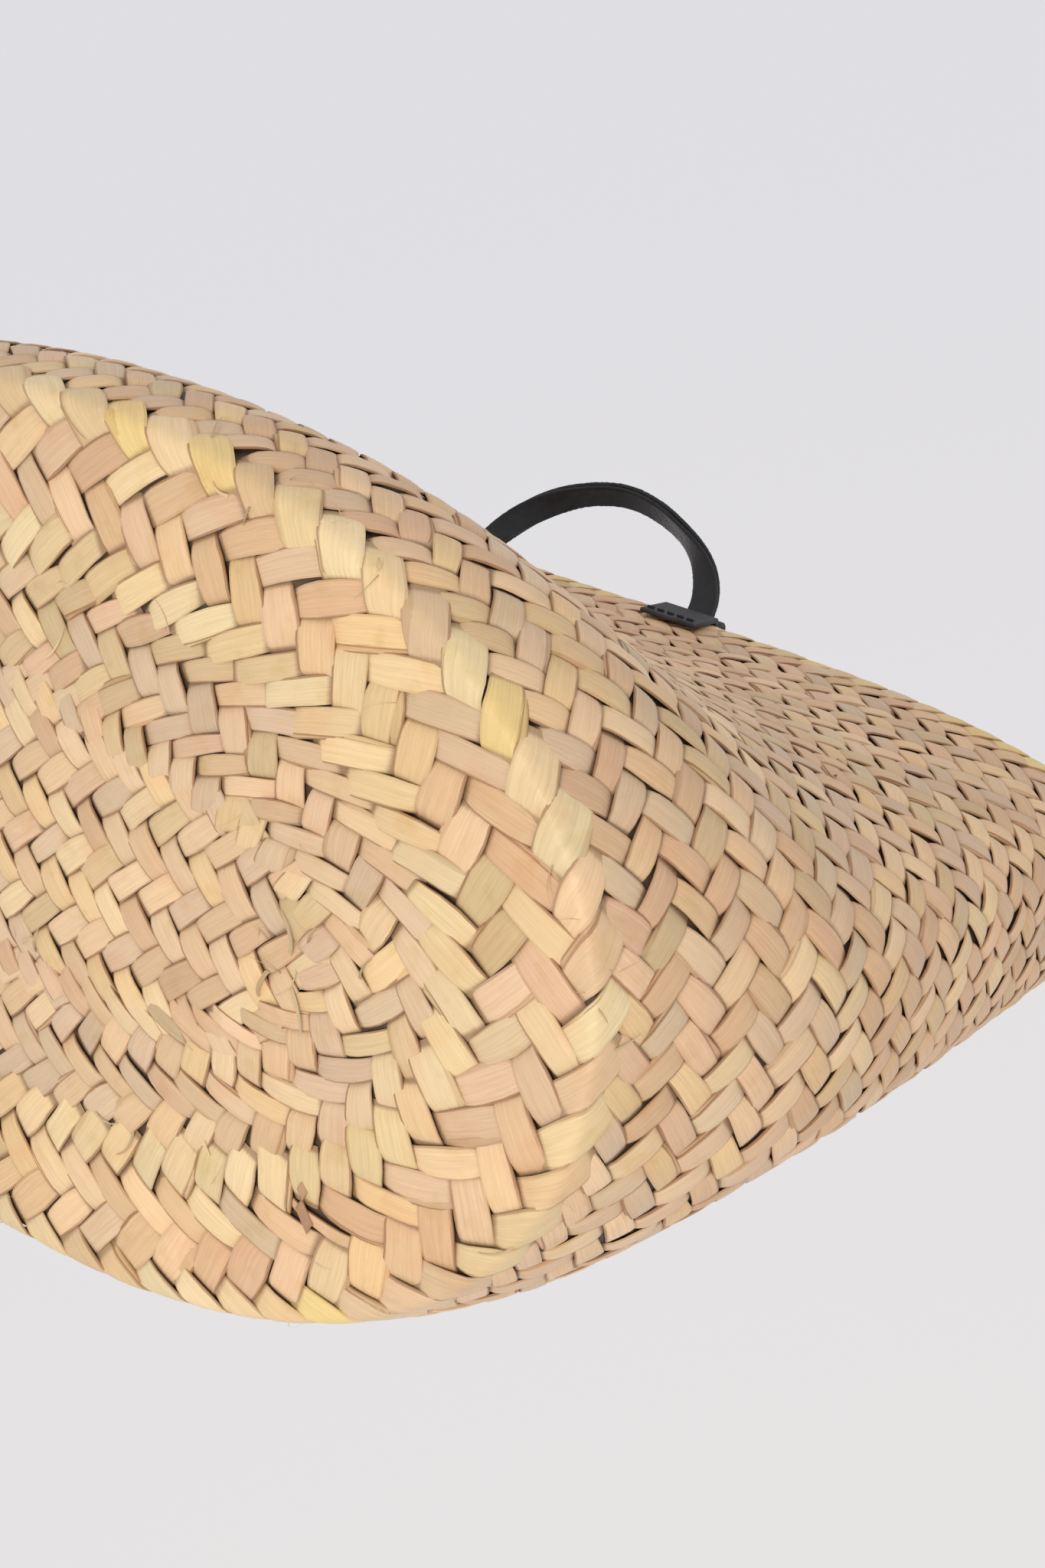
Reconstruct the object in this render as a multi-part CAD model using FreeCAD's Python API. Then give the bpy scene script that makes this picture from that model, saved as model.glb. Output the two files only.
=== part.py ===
import FreeCAD, Part
import math
import os

# Braided palm-leaf beach bag with two leather handles.
# Upright, mouth towards +Z, long side along X. The origin is the centre of the base's underside.

V = FreeCAD.Vector

# Driving dimensions, in millimetres and degrees.
BASE_HALF_LENGTH = 184.8
BASE_HALF_WIDTH = 120.0
BASE_SQUARENESS = 2.15
BASE_THICKNESS = 4.5
OUTER_BASE_BRAID = 48.0
MIDDLE_BASE_BRAID = 34.0

RIM_HALF_LENGTH = 222.9
RIM_HALF_WIDTH = 48.0
RIM_SQUARENESS = 3.71
RIM_HEIGHT_END = 258.5
RIM_HEIGHT_SIDE = 255.7

# The wall leaves the base's edge at the heel angle and arrives upright at the rim.
HEEL_REACH_END = 83.1
HEEL_ANGLE_END = 68.4
RIM_REACH_END = 231.0
HEEL_REACH_SIDE = 78.0
HEEL_ANGLE_SIDE = 63.5
RIM_REACH_SIDE = 188.4
END_BLEND = 1.5

WALL_THICKNESS = 4.0
HEEL_FOLD_WIDTH = 6.0
RIM_FOLD_WIDTH = 9.0
RIM_FOLD_PROUD = 1.2
WALL_TURNS = 4
SEAM_GAP = 0.15

TWINE_WIDTH = 2.2
TWINE_HEIGHT = 1.6
RIM_TWINE_HEIGHT = 1.1
HEEL_TWINE_CLEARANCE = 0.35

HANDLE_CENTRE = 9.0
HANDLE_HALF_SPREAD = 48.0
HANDLE_RISE = 47.0
HANDLE_LEAN = 38.0
ARCH_SQUARENESS = 1.83
ARCH_SWAY = -8.0
STRAP_WIDTH = 10.0
STRAP_PLY = 1.8
STRAP_TURN_SHARE = 0.36
BARREL_RADIUS = 3.2
CORD_RADIUS = 1.25
RUNNING_CLEARANCE = 0.35

TAB_LENGTH = 22.0
TAB_DROP = 17.0
TAB_THICKNESS = 1.8
TAB_CLEARANCE = 0.35
STITCH_PITCH = 4.0
STITCH_LENGTH = 2.6
STITCH_SIZE = 0.8

STATIONS_PER_QUARTER = 16
STATIONS = 4 * STATIONS_PER_QUARTER
PROFILE_STEPS = 60


def outline(half_length, half_width, squareness):
    """Closed oval, its points evenly spaced along each quarter, from the +X tip."""
    fine = 600
    curve = []
    for i in range(fine + 1):
        angle = 0.5 * math.pi * i / fine
        c = max(math.cos(angle), 0.0) ** (2.0 / squareness)
        s = max(math.sin(angle), 0.0) ** (2.0 / squareness)
        curve.append((half_length * c, half_width * s))
    travelled = [0.0]
    for (x0, y0), (x1, y1) in zip(curve, curve[1:]):
        travelled.append(travelled[-1] + math.hypot(x1 - x0, y1 - y0))
    quarter = []
    j = 0
    for i in range(STATIONS_PER_QUARTER + 1):
        target = travelled[-1] * i / STATIONS_PER_QUARTER
        while j < fine - 1 and travelled[j + 1] < target:
            j += 1
        part = (target - travelled[j]) / (travelled[j + 1] - travelled[j])
        x = curve[j][0] + part * (curve[j + 1][0] - curve[j][0])
        y = curve[j][1] + part * (curve[j + 1][1] - curve[j][1])
        quarter.append((x, y))
    n = STATIONS_PER_QUARTER
    points = [quarter[i] for i in range(n)]
    points += [(-quarter[n - i][0], quarter[n - i][1]) for i in range(n)]
    points += [(-quarter[i][0], -quarter[i][1]) for i in range(n)]
    points += [(quarter[n - i][0], -quarter[n - i][1]) for i in range(n)]
    return points


BASE_LINE = outline(BASE_HALF_LENGTH, BASE_HALF_WIDTH, BASE_SQUARENESS)
RIM_LINE = outline(RIM_HALF_LENGTH, RIM_HALF_WIDTH, RIM_SQUARENESS)


def base_normal(k):
    """Outward direction of the base's edge at station k."""
    x0, y0 = BASE_LINE[(k - 1) % STATIONS]
    x1, y1 = BASE_LINE[(k + 1) % STATIONS]
    length = math.hypot(x1 - x0, y1 - y0)
    return (y1 - y0) / length, (x0 - x1) / length


def profile(k):
    """Outer wall profile at station k as a fine chain of points from heel to rim."""
    nx, ny = base_normal(k)
    side = abs(ny) ** END_BLEND
    reach = HEEL_REACH_END + side * (HEEL_REACH_SIDE - HEEL_REACH_END)
    angle = math.radians(HEEL_ANGLE_END + side * (HEEL_ANGLE_SIDE - HEEL_ANGLE_END))
    upper = RIM_REACH_END + side * (RIM_REACH_SIDE - RIM_REACH_END)
    height = RIM_HEIGHT_END + side * (RIM_HEIGHT_SIDE - RIM_HEIGHT_END)
    bx, by = BASE_LINE[k % STATIONS]
    rx, ry = RIM_LINE[k % STATIONS]
    out = reach * math.cos(angle)
    p0 = V(bx, by, 0.0)
    p1 = V(bx + out * nx, by + out * ny, reach * math.sin(angle))
    p2 = V(rx, ry, height - upper)
    p3 = V(rx, ry, height)
    chain = []
    for i in range(PROFILE_STEPS + 1):
        t = i / PROFILE_STEPS
        u = 1.0 - t
        chain.append(p0 * (u * u * u) + p1 * (3 * u * u * t) + p2 * (3 * u * t * t) + p3 * (t * t * t))
    return chain


PROFILES = [profile(k) for k in range(STATIONS)]


def chain_length(chain):
    return sum((b - a).Length for a, b in zip(chain, chain[1:]))


def mean_wall_length():
    return sum(chain_length(chain) for chain in PROFILES) / STATIONS


WALL_LENGTH = mean_wall_length()


def along(chain, fraction):
    """Point of a chain at a fraction of its length."""
    target = fraction * chain_length(chain)
    run = 0.0
    for a, b in zip(chain, chain[1:]):
        step = (b - a).Length
        if run + step >= target:
            return a + (b - a) * ((target - run) / step)
        run += step
    return chain[-1]


def wall_point(k, fraction, offset):
    """Point on the wall at station k; offset is outward from the outer surface."""
    chain = PROFILES[k % STATIONS]
    here = along(chain, fraction)
    up = along(chain, min(fraction + 0.01, 1.0)) - along(chain, max(fraction - 0.01, 0.0))
    ahead = along(PROFILES[(k + 1) % STATIONS], fraction)
    behind = along(PROFILES[(k - 1) % STATIONS], fraction)
    normal = (ahead - behind).cross(up)
    normal.normalize()
    return here + normal * offset


def wall_loop(fraction, offset):
    return [wall_point(k, fraction, offset) for k in range(STATIONS)]


def flat_loop(inset, z):
    """Oval of the base, drawn in from the heel by a distance."""
    points = outline(BASE_HALF_LENGTH - inset, BASE_HALF_WIDTH - inset, BASE_SQUARENESS)
    return [V(x, y, z) for x, y in points]


def closed_edge(points):
    curve = Part.BSplineCurve()
    curve.interpolate(Points=points, PeriodicFlag=True)
    return curve.toShape()


def sewn_solid(faces):
    shell = Part.Shell(faces)
    shell.sewShape()
    solid = Part.Solid(shell)
    if solid.Volume < 0:
        solid.reverse()
    return solid


def ring(loops):
    """Closed ring whose section is the polygon through the loops, in order."""
    edges = [closed_edge(points) for points in loops]
    faces = [Part.makeRuledSurface(a, b) for a, b in zip(edges, edges[1:] + edges[:1])]
    return sewn_solid(faces)


def wall_ring(low, high, inner, outer, steps):
    """Wall turn between two fractions of the wall's height and two offsets."""
    levels = [low + (high - low) * i / steps for i in range(steps + 1)]
    loops = [wall_loop(f, outer) for f in levels]
    loops += [wall_loop(f, inner) for f in reversed(levels)]
    return ring(loops)


def flat_plate(inset, z, height):
    wire = Part.Wire([closed_edge(flat_loop(inset, z))])
    return Part.Face(wire).extrude(V(0, 0, height))


def flat_ring(inset_out, inset_in, z, height):
    return flat_plate(inset_out, z, height).cut(flat_plate(inset_in, z, height))


def tidy(shape):
    solids = shape.Solids
    if len(solids) == 1:
        return solids[0]
    return Part.makeCompound(solids)


def save(shape, node):
    shape.exportStep("parts/" + node + ".step")
    print(node, "solids", len(shape.Solids), "volume", round(shape.Volume, 1), "valid", shape.isValid())


def side_point(x, fraction, offset):
    """Point of the +Y wall at a given X, by interpolation between stations."""
    before = None
    for k in range(0, 2 * STATIONS_PER_QUARTER + 1):
        point = wall_point(k, fraction, offset)
        if before is not None and before.x >= x >= point.x:
            part = (before.x - x) / (before.x - point.x)
            return before + (point - before) * part
        before = point
    return before


HEEL_TOP = HEEL_FOLD_WIDTH / WALL_LENGTH
RIM_FOLD_LOW = 1.0 - RIM_FOLD_WIDTH / WALL_LENGTH
GAP = SEAM_GAP / WALL_LENGTH
TURN = (RIM_FOLD_LOW - HEEL_TOP) / WALL_TURNS


def build_base():
    outer_in = HEEL_FOLD_WIDTH + SEAM_GAP
    middle_in = outer_in + OUTER_BASE_BRAID - HEEL_FOLD_WIDTH
    centre_in = middle_in + MIDDLE_BASE_BRAID
    t = BASE_THICKNESS
    save(tidy(flat_plate(centre_in + SEAM_GAP, 0.0, t)), "base_braid_centre")
    save(tidy(flat_ring(middle_in + SEAM_GAP, centre_in, 0.0, t)), "base_braid_middle")
    save(tidy(flat_ring(outer_in, middle_in, 0.0, t)), "base_braid_outer")
    half = 0.5 * TWINE_WIDTH
    z = t + 0.1
    for node, inset in (("base_twine_inner", centre_in), ("base_twine_outer", middle_in)):
        save(tidy(flat_ring(inset - half, inset + half, z, TWINE_HEIGHT)), node)


def build_heel():
    """Folded strand edge where base and wall meet, and the twine that sews it."""
    w = HEEL_FOLD_WIDTH
    loops = [
        flat_loop(0.0, 0.0),
        flat_loop(w, 0.0),
        flat_loop(w, BASE_THICKNESS),
        wall_loop(HEEL_TOP, -WALL_THICKNESS),
        wall_loop(HEEL_TOP, 0.0),
    ]
    save(ring(loops), "heel_fold")
    low = HEEL_TOP + GAP + 1.0 / WALL_LENGTH
    high = low + TWINE_WIDTH / WALL_LENGTH
    top = -WALL_THICKNESS - HEEL_TWINE_CLEARANCE
    save(wall_ring(low, high, top - TWINE_HEIGHT, top, 1), "heel_twine")


def build_wall():
    for i in range(WALL_TURNS):
        low = HEEL_TOP + GAP + i * TURN
        high = HEEL_TOP + (i + 1) * TURN - GAP
        save(wall_ring(low, high, -WALL_THICKNESS, 0.0, 4), "wall_braid_%d" % (i + 1))
    half = 0.5 * TWINE_WIDTH / WALL_LENGTH
    top = -WALL_THICKNESS - 0.1
    for i in range(1, WALL_TURNS):
        middle = HEEL_TOP + i * TURN
        save(wall_ring(middle - half, middle + half, top - TWINE_HEIGHT, top, 1), "wall_twine_%d" % i)


def build_rim():
    low = RIM_FOLD_LOW + GAP
    inner = -WALL_THICKNESS - RIM_FOLD_PROUD
    save(wall_ring(low, 1.0, inner, RIM_FOLD_PROUD, 2), "rim_fold")
    top = -WALL_THICKNESS - 0.1
    high = RIM_FOLD_LOW - 0.5 / WALL_LENGTH
    save(wall_ring(high - TWINE_WIDTH / WALL_LENGTH, high, top - RIM_TWINE_HEIGHT, top, 1), "rim_twine")


def prism(points, x0, x1):
    """Prism along X on a closed polygon given as (y, z) pairs."""
    corners = [V(x0, y, z) for y, z in points]
    face = Part.Face(Part.makePolygon(corners + corners[:1]))
    return face.extrude(V(x1 - x0, 0, 0))


def mirrored(shape, side):
    if side > 0:
        return shape
    return shape.mirror(V(0, 0, 0), V(0, 1, 0))


def tab_frame(x):
    """Outer and inner leg lines of a tab on the +Y side at X, and the rim's top."""
    outer = []
    inner = []
    for i in range(5):
        fraction = 1.0 - (TAB_DROP / WALL_LENGTH) * i / 4
        proud = RIM_FOLD_PROUD if i < 3 else RIM_FOLD_PROUD * 0.9
        o = max(side_point(x + dx, fraction, proud).y for dx in (-TAB_LENGTH / 2, 0, TAB_LENGTH / 2))
        n = min(side_point(x + dx, fraction, -WALL_THICKNESS - proud).y
                for dx in (-TAB_LENGTH / 2, 0, TAB_LENGTH / 2))
        z = side_point(x, fraction, 0.0).z
        outer.append((o + TAB_CLEARANCE, z))
        inner.append((n - TAB_CLEARANCE, z))
    return outer, inner


def rim_top(x):
    return max(side_point(x + dx, 1.0, off).z
               for dx in (-TAB_LENGTH / 2, 0, TAB_LENGTH / 2)
               for off in (-WALL_THICKNESS - RIM_FOLD_PROUD, RIM_FOLD_PROUD))


def hinge_line():
    """Y and Z of the hinge line above the rim on the +Y side."""
    feet = (HANDLE_CENTRE - HANDLE_HALF_SPREAD, HANDLE_CENTRE + HANDLE_HALF_SPREAD)
    z = max(rim_top(x) for x in feet) + TAB_CLEARANCE + TAB_THICKNESS + RUNNING_CLEARANCE + BARREL_RADIUS
    ys = []
    for x in feet:
        outer, inner = tab_frame(x)
        ys += [outer[0][0], inner[0][0]]
    return sum(ys) / len(ys), z


def leg_y(leg, z):
    """Y of a tab's leg line at a height."""
    for (y0, z0), (y1, z1) in zip(leg, leg[1:]):
        if z0 >= z >= z1:
            return y0 + (y1 - y0) * (z0 - z) / (z0 - z1)
    return leg[-1][0]


def build_tab(x, side, name):
    """Leather tab folded over the rim, with a rolled barrel at each end of its top."""
    hinge_y, hinge_z = hinge_line()
    outer, inner = tab_frame(x)
    t = TAB_THICKNESS
    top = hinge_z - RUNNING_CLEARANCE - BARREL_RADIUS
    x0 = x - TAB_LENGTH / 2
    x1 = x + TAB_LENGTH / 2
    section = [(inner[-1][0], inner[-1][1])]
    section += [(y, z) for y, z in reversed(inner[:-1])]
    section[-1] = (inner[0][0], top - t)
    section += [(outer[0][0], top - t)]
    section += [(y, z) for y, z in outer[1:]]
    section += [(outer[-1][0] + t, outer[-1][1])]
    section += [(y + t, z) for y, z in reversed(outer[1:-1])]
    section += [(outer[0][0] + t, top - 1.0), (outer[0][0] + t - 1.0, top)]
    section += [(inner[0][0] - t + 1.0, top), (inner[0][0] - t, top - 1.0)]
    section += [(y - t, z) for y, z in inner[1:]]
    tab = prism(section, x0, x1)
    gap = STRAP_WIDTH / 2 + RUNNING_CLEARANCE
    for low, high in ((x0, x - gap), (x + gap, x1)):
        barrel = Part.makeCylinder(BARREL_RADIUS, high - low, V(low, hinge_y, hinge_z), V(1, 0, 0))
        web = Part.makeBox(high - low, 4.0, hinge_z - top + 0.5, V(low, hinge_y - 2.0, top - 0.5))
        tab = tab.fuse(barrel).fuse(web)
    bore = Part.makeCylinder(CORD_RADIUS, TAB_LENGTH + 2, V(x0 - 1, hinge_y, hinge_z), V(1, 0, 0))
    tab = tab.cut(bore).removeSplitter()
    save(tidy(mirrored(tab, side)), "tab_" + name)
    cord = Part.makeCylinder(CORD_RADIUS - 0.02, TAB_LENGTH + 1.6, V(x0 - 0.8, hinge_y, hinge_z), V(1, 0, 0))
    save(tidy(mirrored(cord, side)), "hinge_cord_" + name)
    stitches = []
    z = outer[-1][1] + 2.4
    count = int((TAB_LENGTH - 5.0) / STITCH_PITCH) + 1
    start = x - STITCH_PITCH * (count - 1) / 2
    # The leg's faces lean a little, so the stitches stand just clear of their furthest part.
    outer_face = max(leg_y(outer, z), leg_y(outer, z + STITCH_SIZE)) + t
    inner_face = min(leg_y(inner, z), leg_y(inner, z + STITCH_SIZE)) - t
    for i in range(count):
        sx = start + i * STITCH_PITCH
        for y in (outer_face + 0.05, inner_face - 0.05 - STITCH_SIZE):
            stitches.append(Part.makeBox(STITCH_LENGTH, STITCH_SIZE, STITCH_SIZE,
                                         V(sx - STITCH_LENGTH / 2, y, z)))
    save(mirrored(Part.makeCompound(stitches), side), "tab_stitches_" + name)


def arch_point(t):
    """Middle of the strap at t from 0 to 1, upright, with the hinge line at the origin."""
    angle = math.pi * t
    c = math.cos(angle)
    g = max(math.sin(angle), 0.0)
    x = HANDLE_HALF_SPREAD * math.copysign(abs(c) ** (2.0 / ARCH_SQUARENESS), c)
    rise = g ** (2.0 / ARCH_SQUARENESS)
    return V(HANDLE_CENTRE + x + ARCH_SWAY * rise * rise, 0.0, HANDLE_RISE * rise)


def strap_stations(count, start):
    """Points evenly spaced along the arch, from start past one hinge to start before the other."""
    fine = [arch_point(i / 800.0) for i in range(801)]
    lengths = [0.0]
    for a, b in zip(fine, fine[1:]):
        lengths.append(lengths[-1] + (b - a).Length)
    total = lengths[-1]
    stations = []
    j = 0
    for i in range(count + 1):
        target = start + (total - 2 * start) * i / count
        while j < 799 and lengths[j + 1] < target:
            j += 1
        part = (target - lengths[j]) / (lengths[j + 1] - lengths[j])
        tangent = fine[min(j + 6, 800)] - fine[max(j - 6, 0)]
        tangent.normalize()
        stations.append((fine[j] + (fine[j + 1] - fine[j]) * part, tangent, target / total))
    return stations


def strap_ply(low, high, start):
    """One leather ply of the strap, between two offsets from the strap's middle surface.

    The strap lies flat along the rim at its feet and turns a quarter on the way to the top."""
    corners = [[], [], [], []]
    for centre, tangent, t in strap_stations(30, start):
        in_plane = tangent.cross(V(0, 1, 0))
        turn = min(min(t, 1.0 - t) / STRAP_TURN_SHARE, 1.0)
        turn = 0.5 * math.pi * turn * turn * (3.0 - 2.0 * turn)
        width = in_plane * math.cos(turn) - V(0, 1, 0) * math.sin(turn)
        thick = width.cross(tangent)
        for corner, side, offset in zip(corners, (-0.5, 0.5, 0.5, -0.5), (low, low, high, high)):
            corner.append(centre + width * (side * STRAP_WIDTH) + thick * offset)
    edges = []
    for line in corners:
        curve = Part.BSplineCurve()
        curve.interpolate(Points=line)
        edges.append(curve.toShape())
    faces = [Part.makeRuledSurface(edges[i], edges[(i + 1) % 4]) for i in range(4)]
    for end in (0, -1):
        loop = [line[end] for line in corners]
        faces.append(Part.Face(Part.makePolygon(loop + loop[:1])))
    return sewn_solid(faces)


def leaned(shape):
    """Turn a handle piece about the hinge line and set it in place on the +Y side."""
    hinge_y, hinge_z = hinge_line()
    moved = shape.copy()
    moved.translate(V(0, hinge_y, hinge_z))
    moved.rotate(V(0, hinge_y, hinge_z), V(1, 0, 0), -HANDLE_LEAN)
    return moved


def build_handle(side, name):
    """Strap of two plies; the outer ply wraps round the hinge cords at its feet."""
    feet = (HANDLE_CENTRE - HANDLE_HALF_SPREAD, HANDLE_CENTRE + HANDLE_HALF_SPREAD)
    half = STRAP_WIDTH / 2
    outer = strap_ply(0.03, STRAP_PLY, CORD_RADIUS + 0.7)
    for x in feet:
        outer = outer.fuse(Part.makeCylinder(BARREL_RADIUS, STRAP_WIDTH, V(x - half, 0, 0), V(1, 0, 0)))
    for x in feet:
        hole = Part.makeCylinder(CORD_RADIUS + 0.3, STRAP_WIDTH + 2, V(x - half - 1, 0, 0), V(1, 0, 0))
        outer = outer.cut(hole)
    lining = strap_ply(-STRAP_PLY, -0.03, BARREL_RADIUS + 0.6)
    save(tidy(mirrored(leaned(outer), side)), "strap_outer_" + name)
    save(tidy(mirrored(leaned(lining), side)), "strap_lining_" + name)


def main():
    os.makedirs("parts", exist_ok=True)
    build_base()
    build_heel()
    build_wall()
    build_rim()
    for side, name in ((-1, "front"), (1, "back")):
        build_tab(HANDLE_CENTRE - HANDLE_HALF_SPREAD, side, name + "_left")
        build_tab(HANDLE_CENTRE + HANDLE_HALF_SPREAD, side, name + "_right")
        build_handle(side, name)
    hinge_y, hinge_z = hinge_line()
    print("wall length", round(WALL_LENGTH, 2), "hinge line y", round(hinge_y, 3), "z", round(hinge_z, 3))


main()
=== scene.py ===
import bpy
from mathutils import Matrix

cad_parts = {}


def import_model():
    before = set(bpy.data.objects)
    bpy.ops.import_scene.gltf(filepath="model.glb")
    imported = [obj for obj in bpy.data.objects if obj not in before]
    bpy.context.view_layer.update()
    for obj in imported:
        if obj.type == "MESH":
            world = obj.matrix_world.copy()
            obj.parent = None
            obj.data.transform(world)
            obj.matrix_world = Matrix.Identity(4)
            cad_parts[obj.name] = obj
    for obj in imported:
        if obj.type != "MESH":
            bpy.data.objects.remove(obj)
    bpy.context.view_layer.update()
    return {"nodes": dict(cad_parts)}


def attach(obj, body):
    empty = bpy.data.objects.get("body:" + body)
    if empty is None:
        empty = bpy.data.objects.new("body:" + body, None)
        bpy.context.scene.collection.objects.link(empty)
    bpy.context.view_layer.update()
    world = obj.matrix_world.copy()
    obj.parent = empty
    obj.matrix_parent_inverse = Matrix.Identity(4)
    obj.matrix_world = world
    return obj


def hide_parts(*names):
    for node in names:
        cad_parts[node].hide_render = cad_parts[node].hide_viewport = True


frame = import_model()

import math

import bpy
import numpy as np
from mathutils import Matrix, Vector

# Braided palm-leaf beach bag. Lengths in this file are millimetres until a mesh is made.
MM = 0.001
RANDOM = np.random.default_rng(20)

# The bag's surfaces, with the same driving dimensions as the CAD model.
BASE_HALF_LENGTH, BASE_HALF_WIDTH, BASE_SQUARENESS, BASE_THICKNESS = 184.8, 120.0, 2.15, 4.5
RIM_HALF_LENGTH, RIM_HALF_WIDTH, RIM_SQUARENESS = 222.9, 48.0, 3.71
RIM_HEIGHT_END, RIM_HEIGHT_SIDE = 258.5, 255.7
HEEL_REACH_END, HEEL_ANGLE_END, RIM_REACH_END = 83.1, 68.4, 231.0
HEEL_REACH_SIDE, HEEL_ANGLE_SIDE, RIM_REACH_SIDE = 78.0, 63.5, 188.4
END_BLEND = 1.5
WALL_THICKNESS = 4.0
WALL_LENGTH = 268.52
HEEL_FOLD_WIDTH, RIM_FOLD_WIDTH, WALL_TURNS = 6.0, 9.0, 4
TURN_LENGTH = (WALL_LENGTH - HEEL_FOLD_WIDTH - RIM_FOLD_WIDTH) / WALL_TURNS

AROUND = 256            # stations round the bag
ROUND_LENGTH = 970.0    # about the length round the crease


# ---------------------------------------------------------------- surfaces

def outline(half_length, half_width, squareness, count=AROUND):
    """Closed oval of evenly spaced points from the +X tip, as an array of X and Y."""
    angle = 0.5 * math.pi * np.linspace(0.0, 1.0, 1201)
    x = half_length * np.clip(np.cos(angle), 0, 1) ** (2.0 / squareness)
    y = half_width * np.clip(np.sin(angle), 0, 1) ** (2.0 / squareness)
    run = np.concatenate([[0.0], np.cumsum(np.hypot(np.diff(x), np.diff(y)))])
    n = count // 4
    at = np.linspace(0.0, run[-1], n + 1)
    qx, qy = np.interp(at, run, x), np.interp(at, run, y)
    px = np.concatenate([qx[:n], -qx[n:0:-1], -qx[:n], qx[n:0:-1]])
    py = np.concatenate([qy[:n], qy[n:0:-1], -qy[:n], -qy[n:0:-1]])
    return np.stack([px, py], axis=1)


def unit(v):
    return v / np.maximum(np.linalg.norm(v, axis=-1, keepdims=True), 1e-12)


def wall_chains(steps=140):
    """Outer wall profiles of all stations, resampled evenly from the crease to the rim."""
    base = outline(BASE_HALF_LENGTH, BASE_HALF_WIDTH, BASE_SQUARENESS)
    rim = outline(RIM_HALF_LENGTH, RIM_HALF_WIDTH, RIM_SQUARENESS)
    chord = np.roll(base, -1, axis=0) - np.roll(base, 1, axis=0)
    normal = unit(np.stack([chord[:, 1], -chord[:, 0]], axis=1))
    side = np.abs(normal[:, 1]) ** END_BLEND
    reach = HEEL_REACH_END + side * (HEEL_REACH_SIDE - HEEL_REACH_END)
    angle = np.radians(HEEL_ANGLE_END + side * (HEEL_ANGLE_SIDE - HEEL_ANGLE_END))
    upper = RIM_REACH_END + side * (RIM_REACH_SIDE - RIM_REACH_END)
    height = RIM_HEIGHT_END + side * (RIM_HEIGHT_SIDE - RIM_HEIGHT_END)
    out = (reach * np.cos(angle))[:, None]
    flat = np.zeros(AROUND)
    p0 = np.column_stack([base, flat])
    p1 = np.column_stack([base + out * normal, reach * np.sin(angle)])
    p2 = np.column_stack([rim, height - upper])
    p3 = np.column_stack([rim, height])
    t = np.linspace(0.0, 1.0, 121)[None, :, None]
    u = 1.0 - t
    fine = (p0[:, None] * u ** 3 + 3 * p1[:, None] * u * u * t
            + 3 * p2[:, None] * u * t * t + p3[:, None] * t ** 3)
    chains = np.empty((AROUND, steps + 1, 3))
    for k in range(AROUND):
        run = np.concatenate([[0.0], np.cumsum(np.linalg.norm(np.diff(fine[k], axis=0), axis=1))])
        at = np.linspace(0.0, run[-1], steps + 1)
        for axis in range(3):
            chains[k, :, axis] = np.interp(at, run, fine[k, :, axis])
    return chains


class Sheet:
    """A surface given as loops of points at rising levels, with a normal at every point."""

    def __init__(self, levels, points, normals):
        self.levels = np.asarray(levels, float)
        self.points = points
        self.normals = normals

    def place(self, around, level, lift):
        """Points at a share of the way round, at a level, lifted along the normal."""
        k = np.mod(around, 1.0) * AROUND
        k0 = np.floor(k).astype(int) % AROUND
        part = (k - np.floor(k))[..., None]
        k1 = (k0 + 1) % AROUND
        count = len(self.levels)
        i = np.clip(np.interp(level, self.levels, np.arange(count)), 0, count - 1.0001)
        i0 = np.floor(i).astype(int)
        fi = (i - i0)[..., None]

        def mixed(grid):
            low = grid[k0, i0] * (1 - part) + grid[k1, i0] * part
            high = grid[k0, i0 + 1] * (1 - part) + grid[k1, i0 + 1] * part
            return low * (1 - fi) + high * fi

        return mixed(self.points) + unit(mixed(self.normals)) * np.asarray(lift)[..., None]


def loops_to_sheet(levels, points, flip=1.0):
    """Sheet whose normals come from the loops themselves."""
    around = np.roll(points, -1, axis=0) - np.roll(points, 1, axis=0)
    up = np.gradient(points, axis=1)
    return Sheet(levels, points, unit(np.cross(around, up)) * flip)


CHAINS = wall_chains()
CHAIN_LEVELS = np.linspace(0.0, WALL_LENGTH, CHAINS.shape[1])
WALL = loops_to_sheet(CHAIN_LEVELS, CHAINS)


def base_loop(inset, z):
    flat = outline(BASE_HALF_LENGTH - inset, BASE_HALF_WIDTH - inset, BASE_SQUARENESS)
    return np.column_stack([flat, np.full(AROUND, z)])


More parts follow.
